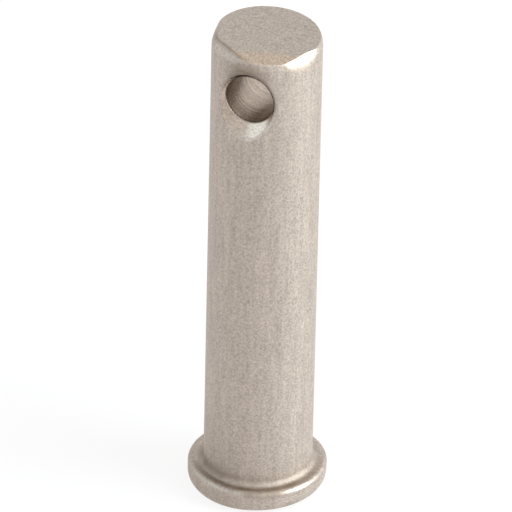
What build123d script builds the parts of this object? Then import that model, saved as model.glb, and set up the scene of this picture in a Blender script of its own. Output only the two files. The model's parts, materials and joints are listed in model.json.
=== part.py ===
from build123d import *
import os
from math import radians, tan

os.makedirs("parts", exist_ok=True)

# Driving sizes, in millimetres and degrees.

# Shank: the round bar that carries the load
shank_diameter = 6.3
shank_length = 28.5  # from under the head to the free end

# Head: an upset collar, nearly square at its bearing edge and well rounded at its outer edge
head_diameter = 8.1
head_thickness = 1.5
bearing_edge_radius = 0.2
outer_edge_radius = 0.7
root_fillet_radius = 0.16

# Free end: the wall draws in along a shallow arc and meets the flat end face at a crisp edge
shoulder_length = 0.7
shoulder_drop = 0.15

# Cross hole for a split pin or a ring, countersunk where it breaks out on either side
cross_hole_diameter = 2.9
cross_hole_to_end = 3.15
countersink_depth = 0.8
countersink_angle = 90.0

# Worked-out sizes.
shank_radius = shank_diameter / 2
head_radius = head_diameter / 2
overall_length = head_thickness + shank_length
cross_hole_radius = cross_hole_diameter / 2
cross_hole_height = overall_length - cross_hole_to_end
countersink_radius = cross_hole_radius + countersink_depth * tan(radians(countersink_angle / 2))

# The pin stands on its head. Z runs up the shank, from the head's flat end at Z = 0.
with BuildPart() as clevis_pin:
    # Half of the turned section, walked from the centre line round the outside and back
    with BuildSketch(Plane.XZ):
        with BuildLine():
            head_end = Line((0, 0), (head_radius, 0))
            rim = Line(head_end @ 1, (head_radius, head_thickness))
            bearing_face = Line(rim @ 1, (shank_radius, head_thickness))
            wall = Line(bearing_face @ 1, (shank_radius, overall_length - shoulder_length))
            end_edge = (shank_radius - shoulder_drop, overall_length)
            shoulder = TangentArc(wall @ 1, end_edge, tangent=wall % 1)
            end_face = Line(shoulder @ 1, (0, overall_length))
            Line(end_face @ 1, head_end @ 0)
        make_face()
    revolve(axis=Axis.Z)

    # The head's rounded edges, and the fillet where the shank grows out of it
    circles = clevis_pin.edges().filter_by(GeomType.CIRCLE)
    head_end_edge = circles.sort_by(Axis.Z)[0]
    at_bearing_face = circles.filter_by_position(Axis.Z, head_thickness, head_thickness)
    root_edge, bearing_edge = at_bearing_face.sort_by(SortBy.RADIUS)
    fillet(head_end_edge, outer_edge_radius)
    fillet(bearing_edge, bearing_edge_radius)
    fillet(root_edge, root_fillet_radius)

    # The cross hole, drilled along Y right through the shank and countersunk from both sides
    mouths = [
        Plane(origin=(0, side * shank_radius, cross_hole_height), z_dir=(0, side, 0))
        for side in (-1, 1)
    ]
    with Locations(*mouths):
        CounterSinkHole(
            radius=cross_hole_radius,
            counter_sink_radius=countersink_radius,
            counter_sink_angle=countersink_angle,
        )

clevis_pin.part.label = "clevis_pin"
export_step(clevis_pin.part, "parts/clevis_pin.step")
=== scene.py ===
"""A clevis pin in satin stainless steel: a headed round bar with a countersunk cross hole.

The pin is one closed skin of quads laid over the solid model. The skin adds what a turned and
tumbled pin shows in the hand: broken edges, an end face that is not quite square and has been
knocked flat in places, a head that is rubbed and thinned on one side, rings that the drill left
in the hole and its countersinks, and a fine grain. Shade in the hollows, the hole and round the
head is painted into the colour, with a brown tint of tarnish in places, and the worn and cut
places are painted lighter and warmer, partly as a painted reflection.
"""

import json
from math import atan2, copysign, cos, hypot, pi, radians, sin, sqrt, tan

import bmesh
import bpy
from bpy.props import FloatProperty, FloatVectorProperty, PointerProperty
from bpy.types import Operator, Panel, PropertyGroup
from mathutils import Matrix, Vector, noise


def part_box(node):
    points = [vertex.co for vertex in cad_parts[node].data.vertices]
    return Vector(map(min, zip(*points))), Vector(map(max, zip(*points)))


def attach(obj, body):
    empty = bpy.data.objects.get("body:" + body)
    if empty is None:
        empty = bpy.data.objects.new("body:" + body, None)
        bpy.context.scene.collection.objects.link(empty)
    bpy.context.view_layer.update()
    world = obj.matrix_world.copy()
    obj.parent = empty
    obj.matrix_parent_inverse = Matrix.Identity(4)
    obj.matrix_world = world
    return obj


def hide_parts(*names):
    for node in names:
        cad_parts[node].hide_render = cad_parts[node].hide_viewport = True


bl_info = {
    "name": "Clevis Pin",
    "version": (1, 0, 0),
    "blender": (4, 5, 0),
    "location": "3D View > Sidebar > Clevis Pin",
    "description": "Builds a headed clevis pin with a countersunk cross hole, and a studio for it",
    "category": "Mesh",
}

MM = 0.001
NODE = "clevis_pin"
BODY = "root"
SLOT = "satin_stainless"

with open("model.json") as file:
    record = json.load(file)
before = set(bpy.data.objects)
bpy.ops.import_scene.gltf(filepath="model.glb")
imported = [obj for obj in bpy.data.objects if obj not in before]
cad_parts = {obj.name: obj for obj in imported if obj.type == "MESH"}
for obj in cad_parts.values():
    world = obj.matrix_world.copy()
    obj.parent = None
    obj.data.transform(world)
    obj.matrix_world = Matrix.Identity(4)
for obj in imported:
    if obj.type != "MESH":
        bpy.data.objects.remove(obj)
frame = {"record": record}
bpy.context.view_layer.update()

MOUNTS = {mount["name"]: mount for mount in frame["record"]["mounts"]}
_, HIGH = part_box(NODE)

# Columns of the skin round the pin, and how many of them the window round each mouth of the
# hole takes up to either side of its middle
COLUMNS = 320
WINDOW_COLUMNS = 40

# Rows of the skin along each stretch of the turned section and of the cross hole
OUTER_EDGE_ROWS = 14
HEAD_SIDE_ROWS = 6
BEARING_ROWS = 8
WALL_ROWS = 60
WINDOW_ROWS = 48
SHOULDER_ROWS = 8
BROKEN_EDGE_ROWS = 4
END_FACE_ROWS = 20
SINK_ROWS = 10
BORE_ROWS = 64

# Rings of the flat faces near the axis, as shares of each face's radius
HEAD_END_RINGS = (0.04, 0.2, 0.4, 0.6, 0.8, 0.93, 0.985)
END_CORE_RINGS = (1.0, 0.8, 0.6, 0.4, 0.2, 0.06)

# The cross hole breaks out of the shank on its -Y side and its +Y side
SIDES = (-1, 1)

# How many rings the drill left in each millimetre of a countersink and of the hole
SINK_MARKS = 9.0
BORE_MARKS = 7.0

# What each part of the skin is, kept on its vertices for the finish to read
# hollow holds how much shade is painted into the colour, with tarnish in places; worn also paints
# a warm reflection
ZONES = ("end_face", "turned", "sink", "bore", "edge", "worn", "hollow")

WHITE = (1.0, 1.0, 1.0, 1.0)


def length(name, description, default):
    """A length property in metres."""
    return FloatProperty(
        name=name, description=description, default=default, min=0.0, unit="LENGTH", precision=5
    )


def angle(name, description, degrees):
    """An angle property, given in degrees and kept in radians."""
    return FloatProperty(
        name=name, description=description, default=radians(degrees), subtype="ANGLE"
    )


def share(name, description, default):
    """A property between 0 and 1."""
    return FloatProperty(
        name=name, description=description, default=default, min=0.0, max=1.0, subtype="FACTOR"
    )


def power(name, description, default):
    """A lamp's power in watts."""
    return FloatProperty(
        name=name, description=description, default=default, min=0.0, unit="POWER"
    )


def colour(name, description, default):
    """A linear colour property."""
    return FloatVectorProperty(
        name=name, description=description, default=default, size=3, min=0.0, max=1.0,
        subtype="COLOR",
    )


class PinForm(PropertyGroup):
    """The pin's sizes, and how its edges were left by the tools and by tumbling."""

    shank_radius: length(
        "Shank radius", "Half the diameter of the bar", MOUNTS["shank"]["dims"]["r_mm"] * MM
    )
    overall_length: length("Overall length", "From the head's flat end to the free end", HIGH.z)
    head_radius: length("Head radius", "Half the diameter of the head", HIGH.x)
    head_thickness: length(
        "Head thickness",
        "From the head's flat end to its bearing face",
        MOUNTS["head_bearing_face"]["pos_m"][2],
    )
    outer_edge_radius: length(
        "Outer edge radius", "Rounding of the head's edge away from the shank", 0.7 * MM
    )
    bearing_edge_radius: length(
        "Bearing edge radius", "Rounding of the head's edge beside its bearing face", 0.3 * MM
    )
    root_fillet_radius: length(
        "Root fillet radius", "Hollow where the shank grows out of the head", 0.36 * MM
    )
    shoulder_length: length(
        "Shoulder length", "How far below the free end the wall starts to draw in", 0.7 * MM
    )
    shoulder_drop: length(
        "Shoulder drop", "How far the wall has drawn in where it meets the end face", 0.15 * MM
    )
    broken_edge: length("Broken edge", "Radius left on the end's turned edge", 0.03 * MM)
    hole_radius: length(
        "Hole radius", "Radius of the cross hole", MOUNTS["cross_hole"]["dims"]["r_mm"] * MM
    )
    hole_height: length(
        "Hole height", "Height of the cross hole's axis", MOUNTS["cross_hole"]["pos_m"][2]
    )
    hole_wall: length(
        "Hole wall",
        "Straight wall of the cross hole between its two countersinks",
        MOUNTS["cross_hole"]["dims"]["length_mm"] * MM,
    )
    countersink_angle: angle(
        "Countersink angle", "Included angle of the cone at each mouth of the cross hole", 90
    )
    rim_softness: length(
        "Rim softness", "How far tumbling has rounded the countersinks' rims", 0.5 * MM
    )
    mouth_softness: length(
        "Mouth softness", "How far tumbling has rounded the hole's two mouths", 0.02 * MM
    )
    tool_marks: length("Tool marks", "Depth of the rings that the drill left", 0.012 * MM)


class PinWear(PropertyGroup):
    """How the pin's free end has been knocked about, and its head rubbed and thinned."""

    softness: length(
        "Wear softness", "How far each worn place eases into what is round it", 0.03 * MM
    )
    end_height: length(
        "End height", "Height of the end face at the pin's axis", HIGH.z - 0.12 * MM
    )
    end_lean: angle("End lean", "How far the end face is out of square", 2.2)
    end_bearing: angle("End bearing", "Which way the end face falls away", -13)
    end_shift: length("End shift", "How far off centre the end's edge was rounded", 0.03 * MM)
    end_shift_bearing: angle("End shift bearing", "Which way the end is off centre", 23)
    bite_reach: length(
        "Bite reach", "Distance from the axis to the two bites worn out of the end's edge",
        2.75 * MM,
    )
    side_bite_reach: length(
        "Side bite reach", "Distance from the axis to a third, shallower bite", 2.9 * MM
    )
    bite_length: length("Bite length", "How far each bite runs down the shoulder", 1.2 * MM)
    right_bite_bearing: angle("Right bite bearing", "Which way the right bite faces", -26)
    left_bite_bearing: angle("Left bite bearing", "Which way the left bite faces", -120)
    side_bite_bearing: angle("Side bite bearing", "Which way the shallow bite faces", -167)
    flat_lean: angle("Flat lean", "Slope of the shallow flat knocked on the end face", 8.3)
    flat_reach: length(
        "Flat reach", "Distance from the axis to where the shallow flat starts", 1.85 * MM
    )
    flat_bearing: angle("Flat bearing", "Which way the shallow flat faces", -57)
    rub_depth: length("Rub depth", "How far in the head's edge is worn on one side", 0.1 * MM)
    rub_bearing: angle("Rub bearing", "Which side of the head's edge is worn in", -5)
    heel_wear: length(
        "Heel wear", "How much thinner the head has become on its worn side", 0.15 * MM
    )
    heel_bearing: angle("Heel bearing", "Which side of the head is thinner", -10)
    knock_reach: length(
        "Knock reach", "Distance from the axis to the flat knocked on the head's edge", 3.835 * MM
    )
    knock_slope: angle("Knock slope", "How far that flat faces upward", 36)
    knock_bearing: angle("Knock bearing", "Which way that flat faces", -26)


class PinShadeAndGrime(PropertyGroup):
    """Where shade is painted into the pin's colour, with tarnish in places."""

    reach: length("Grime reach", "How far grime has spread from a hollow", 0.36 * MM)
    ring_radius: length(
        "Ring radius", "Radius of the dull ring on the head's bearing face", 3.62 * MM
    )
    ring_bearing: angle("Ring bearing", "Which side of that ring is the dullest", -72)
    ring_shift: length("Ring shift", "How far off centre the dull ring is", 0.07 * MM)
    ring_shift_bearing: angle("Ring shift bearing", "Which way the dull ring is shifted", 153)
    foot_bearing: angle("Foot bearing", "Which side of the shank's foot holds grime", -135)
    # Painted shade: the shank is painted darker towards its foot on one side, up to this height
    shading_height: length("Stain height", "How far a faint stain climbs the shank", 5 * MM)
    edge_bearing: angle("Edge bearing", "Which part of the head's edge is dull", -61)
    bore_bearing: angle("Bore bearing", "Which side of the hole is the dullest, from +X", 52)
    sink_bearing: angle("Sink bearing", "Which side of a countersink is stained", -34.8)
    crease_width: length("Crease width", "How wide the dull line at the end's edge is", 0.24 * MM)
    crease_bearing: angle("Crease bearing", "Which side the dull line at the end is on", -122)


class PinFinish(PropertyGroup):
    """The pin's colours and surface."""

    steel: colour("Steel", "Colour of the clean satin steel", (0.489, 0.425, 0.374))
    # Lighter, warmer colour of the worn and cut places and the hole: partly wear, partly a painted
    # warm reflection
    worn_steel_and_sheen: colour("Worn steel", "Colour of the worn places at the end", (0.575, 0.462, 0.365))
    # Brown painted into the hollows: painted shade, and tarnish in places
    shade_and_grime: colour("Grime", "Colour that hollows have gone", (0.22, 0.16, 0.11))
    roughness: share("Roughness", "Roughness of the tumbled surface", 0.62)
    cut_roughness: share("Cut roughness", "Roughness of the countersinks", 0.25)
    turned_roughness: share("Turned roughness", "Roughness of the head's bearing face", 0.42)
    bore_roughness: share("Bore roughness", "Roughness of the drilled hole", 0.3)
    edge_roughness: share("Edge roughness", "Roughness of the edges, rounded by tumbling", 0.5)
    worn_roughness: share("Worn roughness", "Roughness of the bites and the knocked flat", 0.52)
    grain: share("Grain", "How strongly the tone varies from grain to grain", 0.9)
    streaks: share("Streaks", "How strongly the tone varies in streaks along the shank", 0.4)
    mottle: share("Mottle", "How strongly the tone varies from patch to patch", 0.12)
    relief: length("Relief", "Height of the grain and the streaks", 0.02 * MM)


class Studio(PropertyGroup):
    """The room, the lamps and the camera."""

    room: FloatProperty(
        name="Room", description="Brightness of the room over the floor", default=0.86, min=0.0
    )
    key_power: power("Key power", "Power of the large soft lamp", 2.05)
    fill_power: power("Fill power", "Power of the small cool lamp", 0.18)
    camera_elevation: angle("Camera elevation", "How far the camera looks down", 32)
    camera_bearing: angle("Camera bearing", "Where the camera stands, from the X axis", -67.07)
    camera_roll: angle("Camera roll", "How far the camera is tilted sideways", 1.29)
    camera_distance: length("Camera distance", "From the camera to its aim", 0.5814)
    aim_height: length("Aim height", "Height of the point that the camera aims at", 15.126 * MM)
    aim_left: length("Aim left", "How far left of the axis the camera aims", 0.37 * MM)
    focal_length: FloatProperty(
        name="Focal length", description="Focal length in millimetres", default=715.9, min=1.0
    )


def faded(amount):
    """An amount kept between 0 and 1."""
    return min(max(amount, 0.0), 1.0)


def on_side(turn, full, end):
    """1 within full degrees of a direction, fading to 0 at end degrees from it."""
    full, end = cos(radians(full)), cos(radians(end))
    return faded((cos(turn) - end) / (full - end))


def eased(amount, soft):
    """An amount that can't fall below zero, with the corner at zero rounded off."""
    if abs(amount) < soft:
        return (amount + soft) ** 2 / (4 * soft)
    return max(amount, 0.0)


def between(start, end, steps):
    """The values strictly between start and end that split the span into equal steps."""
    return [start + (end - start) * i / steps for i in range(1, steps)]


def arc(centre, radius, start, end, steps):
    """Points of an arc in the turned section, as (radius, height) pairs, both ends included."""
    angles = [start + (end - start) * i / steps for i in range(steps + 1)]
    return [(centre[0] + radius * cos(a), centre[1] + radius * sin(a)) for a in angles]


def bearing_vector(bearing, elevation=0.0):
    """The unit vector that points along a bearing, raised by an elevation."""
    level = cos(elevation)
    return Vector((cos(bearing) * level, sin(bearing) * level, sin(elevation)))


def wall_radius(form, height):
    """Radius of the shank's wall at a height, drawing in along an arc over the shoulder."""
    above = height - (form.overall_length - form.shoulder_length)
    if above <= 0:
        return form.shank_radius
    bend = (form.shoulder_length**2 + form.shoulder_drop**2) / (2 * form.shoulder_drop)
    return form.shank_radius - bend + sqrt(bend**2 - above**2)


def zoned(zone, points):
    """Points of the turned section, each with the zone that its ring is in."""
    return [(zone, radius, height) for radius, height in points]


def head_section(form):
    """The head's half section, from near the centre of its flat end to the foot of the shank."""
    outer, edge, root = form.outer_edge_radius, form.bearing_edge_radius, form.root_fillet_radius
    flat = form.head_radius - outer
    top = form.head_thickness
    ring_inner, ring_outer = form.shank_radius + root, form.head_radius - edge

    section = zoned(None, [(flat * part, 0.0) for part in HEAD_END_RINGS])
    section += zoned(None, arc((flat, outer), outer, -pi / 2, 0.0, OUTER_EDGE_ROWS))
    side = between(outer, top - edge, HEAD_SIDE_ROWS)
    section += zoned(None, [(form.head_radius, z) for z in side])
    section += zoned("edge", arc((ring_outer, top - edge), edge, 0.0, pi / 2, BEARING_ROWS))
    bearing_face = [(r, top) for r in between(ring_outer, ring_inner, BEARING_ROWS)]
    fillet = arc((ring_inner, top + root), root, 1.5 * pi, pi, BEARING_ROWS)
    section += zoned("turned", bearing_face + fillet[:1])
    section += zoned(None, fillet[1:])
    return section


def end_section(form, start):
    """The free end's half section, from a height on the shoulder to near the face's centre."""
    edge, top = form.broken_edge, form.overall_length
    lean = 2 * atan2(form.shoulder_drop, form.shoulder_length)
    meeting = top - edge * (1 - sin(lean))
    centre = (wall_radius(form, meeting) - edge * cos(lean), top - edge)
    core = 0.6 * centre[0]

    wall = [(wall_radius(form, z), z) for z in between(start, meeting, SHOULDER_ROWS)]
    rounded = arc(centre, edge, lean, pi / 2, BROKEN_EDGE_ROWS)
    face = [(r, top) for r in between(centre[0], core, END_FACE_ROWS)]
    face += [(core * part, top) for part in END_CORE_RINGS]
    section = zoned(None, wall[:-1])
    section += zoned("edge", wall[-1:] + rounded[:-1])
    section += zoned("end_face", rounded[-1:] + face)
    return section


def mark(zone, ring):
    """Notes on a ring's vertices that they belong to a zone."""
    for corner in ring:
        if corner is not None:
            corner[zone] = 1.0


def ring_of(bm, radius, height, skipped=()):
    """A ring of vertices round the pin's axis, with None in the skipped columns."""
    ring = []
    for column in range(COLUMNS):
        turn = 2 * pi * column / COLUMNS
        point = (radius * cos(turn), radius * sin(turn), height)
        ring.append(None if column in skipped else bm.verts.new(point))
    return ring


def section_rings(bm, section, zones):
    """A ring for each point of a section, marked with the zone that it is in."""
    rings = []
    for zone, radius, height in section:
        ring = ring_of(bm, radius, height)
        if zone:
            mark(zones[zone], ring)
        rings.append(ring)
    return rings


def bridge(bm, rings):
    """Quads between each closed ring and the next, left out wherever a corner is missing."""
    for ring, other in zip(rings, rings[1:]):
        for i, corner in enumerate(ring):
            corners = (ring[i - 1], corner, other[i], other[i - 1])
            if None not in corners:
                bm.faces.new(corners)


def cap(bm, ring, height):
    """A fan from a ring to a vertex on the pin's axis."""
    centre = bm.verts.new((0.0, 0.0, height))
    for i, corner in enumerate(ring):
        bm.faces.new((ring[i - 1], corner, centre))


def drill_marks(form, travel, per_mm, seed):
    """Height of the rings that a drill left, at a distance along its travel.

    The seed, two numbers, picks one run of uneven rings out of many.
    """
    return form.tool_marks * noise.noise((travel / MM * per_mm, *seed))


def sink_column(form, corner, side):
    """Points from a corner of the window in the wall, over the countersink, to the hole.

    Each comes with the zone that it is in.
    """
    hole, mouth = form.hole_radius, form.hole_wall / 2
    slope = tan(form.countersink_angle / 2)
    across, up = corner.x, corner.z - form.hole_height
    start = hypot(across, up)
    across, up = across / start, up / start

    def on_wall(reach):
        """The shank's wall at a distance from the hole's axis."""
        height = form.hole_height + reach * up
        depth = sqrt(wall_radius(form, height) ** 2 - (reach * across) ** 2)
        return Vector((reach * across, side * depth, height))

    def on_sink(reach):
        """The countersink's cone at a distance from the hole's axis."""
        depth = mouth + (reach - hole) / slope
        return Vector((reach * across, side * depth, form.hole_height + reach * up))

    # The reach at which the cone breaks out through the wall, found by halving the span
    rim, outside = hole, start
    for _ in range(40):
        middle = (rim + outside) / 2
        if abs(on_sink(middle).y) < abs(on_wall(middle).y):
            rim = middle
        else:
            outside = middle

    # Tumbling rounded the rim most above the hole, and least below it and to one side of it
    reached = faded(0.8 + up - 0.6 * side * across)
    depth = (rim - hole) / (slope * (form.shank_radius - mouth))
    soft = form.rim_softness * depth * (0.2 + 0.8 * reached)
    foot = rim + 0.6 * soft
    # Rows on the wall crowd a little towards the rim
    parts = [part**0.8 for part in between(0.0, 1.0, SINK_ROWS)]
    column = [(None, on_wall(start + (foot - start) * part)) for part in parts]
    foot_point, rim_point, sink_point = on_wall(foot), on_wall(rim), on_sink(rim - soft)
    for part in [0.0] + between(0.0, 1.0, BROKEN_EDGE_ROWS) + [1.0]:
        leaving, arriving = foot_point.lerp(rim_point, part), rim_point.lerp(sink_point, part)
        column.append(("edge", leaving.lerp(arriving, part)))

    edge = form.mouth_softness
    for reach in between(rim - soft, hole + edge, SINK_ROWS):
        marks = 0.4 * drill_marks(form, reach, SINK_MARKS, (side * 5.0, 0.0))
        column.append(("sink", on_sink(reach) - Vector((0, side * marks, 0))))
    outer, middle, inner = on_sink(hole + edge), on_sink(hole), on_sink(hole)
    inner.y -= side * edge
    rounded = middle.lerp((outer + inner) / 2, 0.5)
    return column + [("edge", point) for point in (outer, rounded, inner)]


def cross_hole(bm, form, windows, zones):
    """The skin of the cross hole, from the window in one side of the wall to the other."""
    halves = []
    for side, window in zip(SIDES, windows):
        columns = [sink_column(form, corner.co, side) for corner in window]
        half = [window]
        for row in zip(*columns):
            half.append([bm.verts.new(point) for _, point in row])
            zone = row[0][0]
            if zone:
                mark(zones[zone], half[-1])
        halves.append(half)
    near, far = halves
    start = near[-1][0].co.y
    bore = []
    for y in between(start, -start, BORE_ROWS):
        marks = 0.5 * drill_marks(form, y, BORE_MARKS, (3.0, 8.0))
        grown = 1 + marks / form.hole_radius
        ring = []
        for corner in near[-1]:
            up = (corner.co.z - form.hole_height) * grown
            ring.append(bm.verts.new((corner.co.x * grown, y, form.hole_height + up)))
        mark(zones["bore"], ring)
        bore.append(ring)
    bridge(bm, near + bore + far[::-1])


def bitten(form, wear, point):
    """A point near the free end, moved in where a bite has been worn out of the edge.

    How far a bite that has been polished bright moved it is given as well.
    """
    edge = form.shank_radius - form.shoulder_drop
    radius, bearing = hypot(point.x, point.y), atan2(point.y, point.x)
    below = form.overall_length - point.z
    # The middle of the end face stays where it is, out to 0.6 of its radius
    shared = faded((radius / edge - 0.6) / 0.4) ** 2
    moved, polished = 0.0, 0.0
    for middle, reach, bright in (
        (wear.right_bite_bearing, wear.bite_reach, True),
        (wear.left_bite_bearing, wear.bite_reach, False),
        (wear.side_bite_bearing, wear.side_bite_reach, False),
    ):
        turn = (bearing - middle + pi) % (2 * pi) - pi
        if abs(turn) < radians(60) and radius:
            depth = eased(edge - reach / cos(turn), wear.softness)
            run = wear.bite_length * sqrt(depth / (edge - reach))
            if below < run:
                inward = depth * shared * (1 - below / run) ** 2
                moved += inward
                if bright and below > form.broken_edge / 2:
                    polished += inward
    kept = 1 - moved / radius if radius else 1.0
    shifted = wear.end_shift * (1 - min(below / wear.bite_length, 1.0)) ** 2
    shift = bearing_vector(wear.end_shift_bearing) * shifted
    return Vector((point.x * kept, point.y * kept, point.z)) + shift, polished


def wear_end(bm, form, wear, worn):
    """Bites the edge of the free end, leans its face over and knocks a shallow flat on it."""
    lowest = form.overall_length - 2 * form.shoulder_length
    square = bearing_vector(wear.end_bearing, pi / 2 - wear.end_lean)

    def face_height(point):
        """Height of the leaning end face over a point."""
        return wear.end_height - (square.x * point.x + square.y * point.y) / square.z

    start = bearing_vector(wear.flat_bearing) * wear.flat_reach
    start.z = face_height(start)
    flat = bearing_vector(wear.flat_bearing, pi / 2 - wear.flat_lean)
    for corner in bm.verts:
        if corner.co.z > lowest:
            point, polished = bitten(form, wear, corner.co)
            rise = (point.z - lowest) / (form.overall_length - lowest)
            point.z -= (form.overall_length - face_height(point)) * rise
            proud = eased(flat.dot(point - start), wear.softness)
            corner.co = point - flat * proud
            # The flat looks worn sooner than the bite does. The mark also paints them lighter and
            # warmer, partly as a painted reflection.
            corner[worn] = faded(max(polished / 4, proud / 2) / wear.softness)


def wear_head(bm, form, wear):
    """Rubs the head in and thins it on one side, and knocks a small flat on its upper edge."""
    rubbed = bearing_vector(wear.rub_bearing)
    thinned = bearing_vector(wear.heel_bearing)
    knock = bearing_vector(wear.knock_bearing, wear.knock_slope)
    start = bearing_vector(wear.knock_bearing) * wear.knock_reach
    start.z = form.head_thickness
    inner = form.shank_radius + form.root_fillet_radius
    for corner in bm.verts:
        if corner.co.z > form.head_thickness:
            continue
        radius = hypot(corner.co.x, corner.co.y)
        if radius > inner:
            facing = max(corner.co.dot(rubbed) / radius, 0.0)
            moved = wear.rub_depth * facing**2 * (radius - inner) / (form.head_radius - inner)
            # The upper edge is rubbed less than the side
            moved *= 1 - 0.6 * (corner.co.z / form.head_thickness) ** 4
            corner.co.xy *= 1 - moved / radius
        corner.co -= knock * eased(knock.dot(corner.co - start), wear.softness)
        lift = wear.heel_wear * eased(corner.co.dot(thinned) / form.head_radius, 0.25)
        corner.co.z += lift * (1 - corner.co.z / form.head_thickness)


def ring_shade_and_grime(form, shade_and_grime, point):
    """Painted shade and tarnish in the dull ring on the head's bearing face, dullest on one side.
    """
    centre = bearing_vector(shade_and_grime.ring_shift_bearing) * shade_and_grime.ring_shift
    off_ring = hypot(point.x - centre.x, point.y - centre.y) - shade_and_grime.ring_radius
    away = hypot(off_ring, 1.5 * (point.z - form.head_thickness))
    facing = on_side(atan2(point.y, point.x) - shade_and_grime.ring_bearing, 36.9, 101.5)
    return facing * faded(1.4 - 1.4 * away / shade_and_grime.reach)


def foot_shade(form, shade_and_grime, point):
    """Painted shade at the shank's foot: a dark corner and a faint darkening up one side.

    The fillet all round is painted a little darker too, which dims its highlight.
    """
    outside = hypot(point.x, point.y) - form.shank_radius
    above = point.z - form.head_thickness
    facing = on_side(atan2(point.y, point.x) - shade_and_grime.foot_bearing, 19.2, 67.1)
    away = hypot(outside - 0.05 * MM, above - 0.2 * MM)
    corner_shade = 0.75 * facing * faded(1.25 - away / shade_and_grime.reach)
    shading = 0.3 * facing * faded(1 - max(above / shade_and_grime.shading_height, 0.0))
    away = hypot(outside - 0.1 * MM, above - 0.1 * MM)
    fillet = 0.3 * faded(1.4 - away / shade_and_grime.reach)
    return max(corner_shade, shading, fillet)


def edge_shade_and_grime(form, shade_and_grime, point):
    """Painted shade and tarnish on a short dull part of the head's edge, which dims its highlight,
    and a painted shadow in a line at the end's edge.
    """
    radius, bearing = hypot(point.x, point.y), atan2(point.y, point.x)
    away = hypot(radius - form.head_radius, point.z - form.head_thickness)
    facing = on_side(bearing - shade_and_grime.edge_bearing, 12.8, 21.0)
    dull = 0.8 * facing * faded(1.3 - away / shade_and_grime.reach)
    end_radius = form.shank_radius - form.shoulder_drop
    away = hypot(radius - end_radius, point.z - form.overall_length)
    facing = on_side(bearing - shade_and_grime.crease_bearing, 16.3, 40.5)
    return max(dull, facing * faded(1 - away / shade_and_grime.crease_width))


def hole_shade(form, shade_and_grime, point):
    """Painted shade in the hole, on the wall over its mouths and on one side of its countersinks.
    """
    mouth, slope = form.hole_wall / 2, tan(form.countersink_angle / 2)
    across, up = point.x, point.z - form.hole_height
    reach = hypot(across, up)
    if reach >= 2 * (form.hole_radius + form.shank_radius - mouth):
        return 0.0
    if reach < form.hole_radius * 1.03:
        return on_side(atan2(up, across) - shade_and_grime.bore_bearing, 131.8, 180)
    # How far the wall stands inside the cone, carried on past the countersink's rim
    gap = mouth + (reach - form.hole_radius) / slope - abs(point.y)
    if gap > form.broken_edge:
        return 0.95 * faded(1 - gap / (2.6 * shade_and_grime.reach)) * faded(up / reach) ** 6
    # Seen from outside the pin, the same side of both countersinks gets painted shade
    shaded = atan2(up, across * copysign(1, point.y)) - shade_and_grime.sink_bearing
    return 0.45 * on_side(shaded, 12.3, 31.7)


def gather_shade_and_grime(bm, form, shade_and_grime, hollow):
    """Notes on each vertex how much shade is painted there, with tarnish in places."""
    places = (ring_shade_and_grime, foot_shade, edge_shade_and_grime, hole_shade)
    for corner in bm.verts:
        corner[hollow] = max(place(form, shade_and_grime, corner.co) for place in places)


def skin(form, wear, shade_and_grime):
    """The whole pin as one closed skin, whose vertices know which zones they are in."""
    bm = bmesh.new()
    zones = {name: bm.verts.layers.float.new(name) for name in ZONES}
    head = head_section(form)
    shoulder_foot = form.overall_length - form.shoulder_length
    sink_reach = form.hole_radius + (form.shank_radius - form.hole_wall / 2) * tan(
        form.countersink_angle / 2
    )
    window_foot = form.hole_height - sink_reach - 0.5 * MM
    window_top = shoulder_foot + 0.3 * form.shoulder_length
    wall_heights = between(head[-1][2], window_foot, WALL_ROWS)
    open_heights = between(window_foot, window_top, WINDOW_ROWS)
    quarter = COLUMNS // 4
    near = range(3 * quarter - WINDOW_COLUMNS, 3 * quarter + WINDOW_COLUMNS + 1)
    far = [COLUMNS - column for column in near]
    open_columns = set(near[1:-1]) | set(far[1:-1])

    rings = section_rings(bm, head, zones)
    cap(bm, rings[0], 0.0)
    rings += [ring_of(bm, form.shank_radius, z) for z in wall_heights]
    window_rings = [ring_of(bm, wall_radius(form, window_foot), window_foot)]
    window_rings += [ring_of(bm, wall_radius(form, z), z, open_columns) for z in open_heights]
    window_rings += [ring_of(bm, wall_radius(form, window_top), window_top)]
    rings += window_rings
    rings += section_rings(bm, end_section(form, window_top), zones)
    bridge(bm, rings)
    cap(bm, rings[-1], form.overall_length)

    # The loop round each window: along its foot, up one side, back along its top and down
    windows = []
    for columns in (list(near), far):
        loop = [window_rings[0][c] for c in columns]
        loop += [ring[columns[-1]] for ring in window_rings[1:]]
        loop += [window_rings[-1][c] for c in columns[-2::-1]]
        loop += [ring[columns[0]] for ring in window_rings[-2:0:-1]]
        windows.append(loop)
    cross_hole(bm, form, windows, zones)
    gather_shade_and_grime(bm, form, shade_and_grime, zones["hollow"])
    wear_end(bm, form, wear, zones["worn"])
    wear_head(bm, form, wear)
    bmesh.ops.recalc_face_normals(bm, faces=bm.faces)
    return bm


class Signal:
    """A socket's value in a node tree. Arithmetic on signals adds the Math nodes for it."""

    def __init__(self, tree, socket):
        self.tree = tree
        self.socket = socket

    def maths(self, operation, *values):
        """A Math node on some values."""
        return self.tree.add("ShaderNodeMath", {"operation": operation}, dict(enumerate(values)))

    def clamped(self, low=0.0, high=1.0):
        """The value, kept between low and high."""
        return self.tree.add("ShaderNodeClamp", {}, {"Value": self, "Min": low, "Max": high})

    def ramp(self, low, high):
        """Rises smoothly from 0 at low to 1 at high."""
        return self.tree.add(
            "ShaderNodeMapRange",
            {"interpolation_type": "SMOOTHSTEP"},
            {"Value": self, "From Min": low, "From Max": high},
        )

    def __add__(self, other):
        return self.maths("ADD", self, other)

    __radd__ = __add__

    def __sub__(self, other):
        return self.maths("SUBTRACT", self, other)

    def __rsub__(self, other):
        return self.maths("SUBTRACT", other, self)

    def __mul__(self, other):
        return self.maths("MULTIPLY", self, other)

    __rmul__ = __mul__


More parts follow.
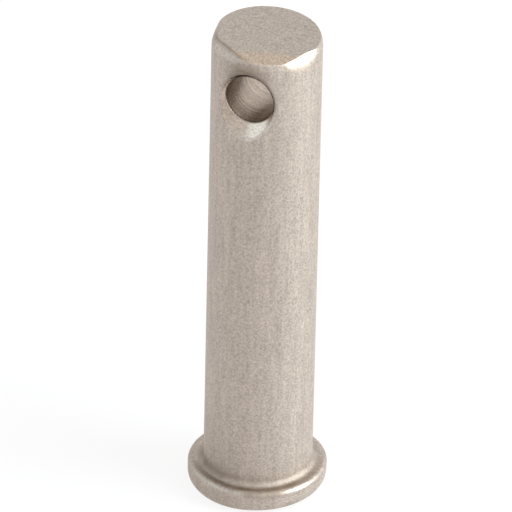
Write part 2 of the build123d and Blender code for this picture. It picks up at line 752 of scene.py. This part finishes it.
class Tree:
    """The node tree of a material or a world, emptied, with one method that adds any node."""

    def __init__(self, owner):
        owner.use_nodes = True
        self.nodes = owner.node_tree.nodes
        self.links = owner.node_tree.links
        self.nodes.clear()

    def add(self, kind, settings=None, sockets=None, output=0):
        """Adds a node, applies its settings, then fills its sockets with values or signals."""
        node = self.nodes.new(kind)
        for name, value in (settings or {}).items():
            setattr(node, name, value)
        for name, value in (sockets or {}).items():
            if isinstance(value, Signal):
                self.links.new(value.socket, node.inputs[name])
            else:
                node.inputs[name].default_value = value
        return Signal(self, node.outputs[output]) if node.outputs else None

    def scaled(self, vector, amount):
        """A vector or a colour, multiplied by a number."""
        return self.add(
            "ShaderNodeVectorMath", {"operation": "SCALE"}, {0: vector, "Scale": amount}
        )

    def stretched(self, vector, amounts):
        """A vector, multiplied axis by axis."""
        return self.add(
            "ShaderNodeVectorMath", {"operation": "MULTIPLY"}, {0: vector, 1: amounts}
        )

    def mixed(self, amount, low, high):
        """A colour between two others, which a Mix node takes in its sockets 6 and 7."""
        return self.add(
            "ShaderNodeMix", {"data_type": "RGBA"}, {"Factor": amount, 6: low, 7: high}, output=2
        )

    def noise(self, vector, scale, detail, roughness):
        """Smooth noise, about 0.5 on average."""
        return self.add(
            "ShaderNodeTexNoise",
            sockets={"Vector": vector, "Scale": scale, "Detail": detail, "Roughness": roughness},
        )

    def rays(self):
        """Signals that are 1 for what the camera sees, for mirrored rays and through glass."""
        names = ("Is Camera Ray", "Is Glossy Ray", "Is Transmission Ray")
        return [self.add("ShaderNodeLightPath", output=name) for name in names]


def satin_steel(finish):
    """Tumbled stainless steel: grained, burnished on its edges, with shade painted into its
    hollows and a warm reflection painted on its worn and cut places.
    """
    material = bpy.data.materials.new(SLOT)
    tree = Tree(material)
    zone = {
        name: tree.add("ShaderNodeAttribute", {"attribute_name": name}, output="Fac")
        for name in ZONES
    }
    cut, bore = zone["sink"], zone["bore"]
    wall = (1.0 - (bore + cut) - zone["end_face"]).clamped()

    # Grain and patches all over, streaks along the shank and rings round the hole
    place = tree.scaled(tree.add("ShaderNodeTexCoord", output="Object"), 1 / MM)
    grain = tree.noise(place, scale=8.5, detail=1.0, roughness=0.5)
    mottle = tree.noise(place, scale=0.9, detail=2.0, roughness=0.5)
    along_shank = tree.stretched(place, (1.0, 1.0, 0.08))
    streaks = tree.noise(along_shank, scale=3.2, detail=3.0, roughness=0.6)
    round_hole = tree.stretched(place, (0.08, 1.0, 0.08))
    rings = tree.noise(round_hole, scale=6.0, detail=3.0, roughness=0.7)

    # In the hole the tone is a little lighter, and darker where shade is painted. The end face is
    # painted a little darker than the wall, as painted shade.
    # Steel that was cut or knocked, and the hole, is painted warmer and lighter: partly wear,
    # partly a painted warm reflection.
    tone = 1.0 + (grain - 0.5) * finish.grain + (mottle - 0.5) * finish.mottle
    tone = tone + (streaks - 0.5) * finish.streaks * wall + (rings - 0.5) * bore
    tone = tone + (0.04 - 0.4 * zone["hollow"]) * bore - 0.06 * zone["end_face"]
    warmth_and_sheen = (zone["worn"] + 0.35 * cut + 0.4 * bore).clamped()
    clean = tree.mixed(warmth_and_sheen, (*finish.steel, 1.0), (*finish.worn_steel_and_sheen, 1.0))
    # Painted shade, with tarnish in places, pulls the colour towards the brown one, at half
    # strength in the hole
    shade_and_dirt = zone["hollow"] * (1.0 - 0.5 * bore)
    shade_and_dirt = (shade_and_dirt * (0.25 + mottle)).clamped()
    painted = tree.mixed(shade_and_dirt, tree.scaled(clean, tone), (*finish.shade_and_grime, 1.0))

    roughness = finish.roughness + (grain - 0.5) * 0.2 + shade_and_dirt * 0.2 * wall
    for part, own_roughness in (
        (cut, finish.cut_roughness),
        (bore, finish.bore_roughness),
        (zone["turned"], finish.turned_roughness),
        (zone["edge"], finish.edge_roughness),
        (zone["worn"], finish.worn_roughness),
    ):
        roughness = roughness + part * (own_roughness - finish.roughness)
    height = grain * 0.6 * (1.0 - 0.7 * cut) + streaks * 0.4 * wall + rings * bore
    bump = tree.add(
        "ShaderNodeBump", sockets={"Strength": 0.35, "Distance": finish.relief, "Height": height}
    )
    shader = tree.add(
        "ShaderNodeBsdfPrincipled",
        sockets={
            "Base Color": painted,
            "Metallic": 1.0,
            "Roughness": roughness.clamped(0.1, 0.9),
            "Normal": bump,
        },
    )
    tree.add("ShaderNodeOutputMaterial", sockets={"Surface": shader})
    return material


class CLEVIS_OT_pin(Operator):
    """Builds the pin with its head, shoulder, cross hole and finish"""

    bl_idname = "clevis.pin"
    bl_label = "Build the pin"

    def execute(self, context):
        scene = context.scene
        bm = skin(scene.clevis_form, scene.clevis_wear, scene.clevis_grime)
        mesh = bpy.data.meshes.new("clevis_pin_skin")
        bm.to_mesh(mesh)
        bm.free()
        mesh.shade_smooth()
        mesh.materials.append(satin_steel(scene.clevis_finish))
        pin = bpy.data.objects.new("clevis_pin_skin", mesh)
        scene.collection.objects.link(pin)
        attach(pin, BODY)
        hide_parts(NODE)
        return {"FINISHED"}


def pale_floor():
    """A white floor that stays white to the eye and still takes the pin's shadow."""
    material = bpy.data.materials.new("pale_floor")
    tree = Tree(material)
    seen, mirrored, through = tree.rays()
    paper = tree.add("ShaderNodeBsdfDiffuse", sockets={"Color": (0.85, 0.85, 0.85, 1.0)})
    glow = tree.add("ShaderNodeEmission", sockets={"Color": WHITE, "Strength": 1.0})
    amount = (seen * 0.85 + mirrored + through).clamped()
    mix = tree.add("ShaderNodeMixShader", sockets={0: amount, 1: paper, 2: glow})
    tree.add("ShaderNodeOutputMaterial", sockets={"Surface": mix})
    return material


def white_room(context, brightness):
    """A faintly warm room over the floor, which the eye and the steel see as plain white.

    Its ceiling is darker right over the pin.
    """
    world = bpy.data.worlds.new("white_room")
    context.scene.world = world
    tree = Tree(world)
    seen, mirrored, through = tree.rays()
    direction = tree.add("ShaderNodeTexCoord", output="Generated")
    height = tree.add("ShaderNodeSeparateXYZ", sockets={"Vector": direction}, output="Z")
    shade = 1.0 - 0.65 * height.ramp(0.85, 0.98)
    walls = tree.add(
        "ShaderNodeBackground",
        sockets={"Color": (1.0, 0.96, 0.94, 1.0), "Strength": shade * brightness},
    )
    white = tree.add("ShaderNodeBackground", sockets={"Color": WHITE, "Strength": shade})
    amount = (seen + mirrored + through).clamped()
    mix = tree.add("ShaderNodeMixShader", sockets={0: amount, 1: walls, 2: white})
    tree.add("ShaderNodeOutputWorld", sockets={"Surface": mix})


def softbox(context, name, aim, bearing, elevation, distance, size, energy, tint):
    """A soft lamp, as wide and tall as size says, that faces a point from a bearing."""
    lamp = bpy.data.lights.new(name, "AREA")
    lamp.shape = "RECTANGLE"
    lamp.size, lamp.size_y = size
    lamp.energy = energy
    lamp.color = tint
    stand = bpy.data.objects.new(name, lamp)
    away = bearing_vector(bearing, elevation)
    stand.location = aim + away * distance
    stand.rotation_euler = away.to_track_quat("Z", "Y").to_euler()
    context.scene.collection.objects.link(stand)


def long_lens_camera(context, studio):
    """The camera, far away behind a long lens, looking down on the pin."""
    towards = bearing_vector(studio.camera_bearing, studio.camera_elevation)
    right = bearing_vector(studio.camera_bearing + pi / 2)
    aim = Vector((0, 0, studio.aim_height)) - right * studio.aim_left
    lens = bpy.data.cameras.new("camera")
    lens.sensor_width = 36.0
    lens.lens = studio.focal_length
    lens.clip_start = 0.05
    lens.clip_end = 5.0
    camera = bpy.data.objects.new("camera", lens)
    axes = Matrix((right, towards.cross(right), towards)).transposed()
    turned = axes @ Matrix.Rotation(studio.camera_roll, 3, "Z")
    place = Matrix.Translation(aim + towards * studio.camera_distance)
    camera.matrix_world = place @ turned.to_4x4()
    context.scene.collection.objects.link(camera)
    context.scene.camera = camera


class CLEVIS_OT_stage(Operator):
    """Builds the floor, the lamps, the white room and the camera"""

    bl_idname = "clevis.stage"
    bl_label = "Build the stage"

    def execute(self, context):
        form = context.scene.clevis_form
        studio = context.scene.clevis_studio
        mesh = bpy.data.meshes.new("floor")
        bm = bmesh.new()
        bmesh.ops.create_circle(bm, cap_ends=True, segments=64, radius=1.0)
        bm.to_mesh(mesh)
        bm.free()
        mesh.materials.append(pale_floor())
        floor = bpy.data.objects.new("floor", mesh)
        context.scene.collection.objects.link(floor)
        white_room(context, studio.room)
        middle = Vector((0, 0, form.overall_length / 2))
        softbox(
            context, "key", middle, bearing=radians(6), elevation=radians(28), distance=0.35,
            size=(0.21, 0.42), energy=studio.key_power, tint=(0.9, 0.98, 1.0),
        )
        softbox(
            context, "fill", middle, bearing=radians(-156), elevation=radians(34), distance=0.3,
            size=(0.32, 0.24), energy=studio.fill_power, tint=(0.58, 0.86, 1.0),
        )
        long_lens_camera(context, studio)
        context.scene.view_settings.view_transform = "Standard"
        return {"FINISHED"}


GROUPS = {
    "clevis_form": PinForm,
    "clevis_wear": PinWear,
    "clevis_grime": PinShadeAndGrime,
    "clevis_finish": PinFinish,
    "clevis_studio": Studio,
}


class CLEVIS_PT_panel(Panel):
    """Lists the pin's sizes, wear, finish and studio, and the buttons that build them"""

    bl_label = "Clevis Pin"
    bl_idname = "CLEVIS_PT_panel"
    bl_space_type = "VIEW_3D"
    bl_region_type = "UI"
    bl_category = "Clevis Pin"

    def draw(self, context):
        for name, kind in GROUPS.items():
            for setting in kind.__annotations__:
                self.layout.prop(getattr(context.scene, name), setting)
        self.layout.operator("clevis.pin")
        self.layout.operator("clevis.stage")


CLASSES = (*GROUPS.values(), CLEVIS_OT_pin, CLEVIS_OT_stage, CLEVIS_PT_panel)


def register():
    for cls in CLASSES:
        bpy.utils.register_class(cls)
    for name, kind in GROUPS.items():
        setattr(bpy.types.Scene, name, PointerProperty(type=kind))


def unregister():
    for name in GROUPS:
        delattr(bpy.types.Scene, name)
    for cls in reversed(CLASSES):
        bpy.utils.unregister_class(cls)


def main():
    """Builds everything: the pin, then the stage."""
    register()
    bpy.ops.clevis.pin()
    bpy.ops.clevis.stage()
    bpy.context.view_layer.update()


if __name__ == "__main__":
    main()
